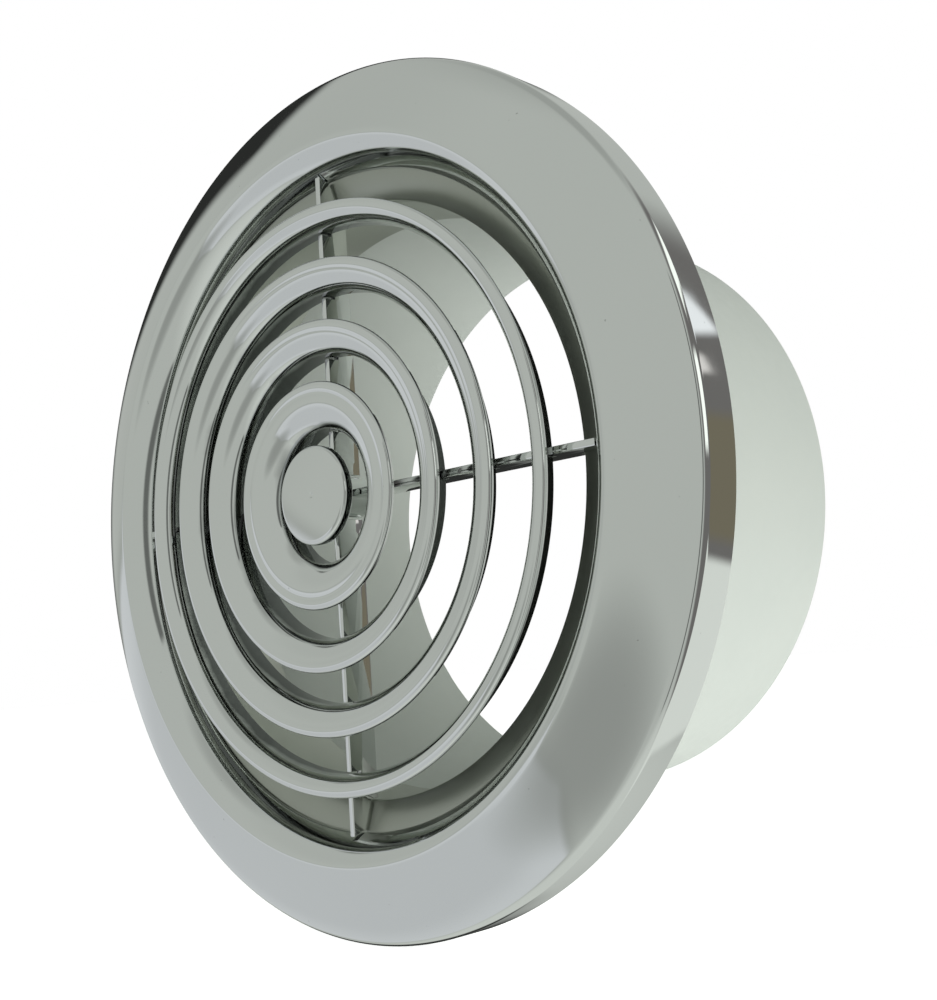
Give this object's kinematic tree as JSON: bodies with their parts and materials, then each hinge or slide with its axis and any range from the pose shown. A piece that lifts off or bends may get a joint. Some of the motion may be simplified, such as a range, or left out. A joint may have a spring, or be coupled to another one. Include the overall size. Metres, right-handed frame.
{
  "type": "round ceiling air diffuser",
  "caption": "Chromed round air diffuser: domed flange, concentric cone rings on a cross, snapped into a white spigot sleeve that enters a ceiling duct.",
  "frame": {"origin": "On the diffuser's axis, in the plane where the flange's rim meets the ceiling.", "axes": "+Y along the axis from the room into the duct, so the grille faces -Y; +Z towards rib_top, +X towards rib_right."},
  "size_m": [0.168, 0.0835, 0.168],
  "materials": {
    "chrome_plating": "mirror chrome plating on moulded plastic",
    "white_plastic": "satin white moulded plastic",
    "foam": "closed-cell foam"
  },
  "bodies": {
    "sleeve": {"spigot_sleeve": "white_plastic", "fixing_ring": "white_plastic"},
    "grille": {"flange_trim": "chrome_plating", "throat_ledge": "chrome_plating", "grille_collar": "chrome_plating", "cone_ring_1": "chrome_plating", "cone_ring_2": "chrome_plating", "cone_ring_3": "chrome_plating", "cone_ring_4": "chrome_plating", "centre_cap": "chrome_plating", "centre_hub": "chrome_plating", "rib_top": "chrome_plating", "rib_right": "chrome_plating", "rib_bottom": "chrome_plating", "rib_left": "chrome_plating", "snap_clip_1": "chrome_plating", "snap_clip_2": "chrome_plating", "snap_clip_3": "chrome_plating", "snap_clip_4": "chrome_plating", "ceiling_seal": "foam"}
  },
  "joints": [
    {"name": "grille_pull", "type": "slide", "parent": "sleeve", "child": "grille", "axis": [0, -1, 0], "range_m": [0, 0.04]}
  ]
}
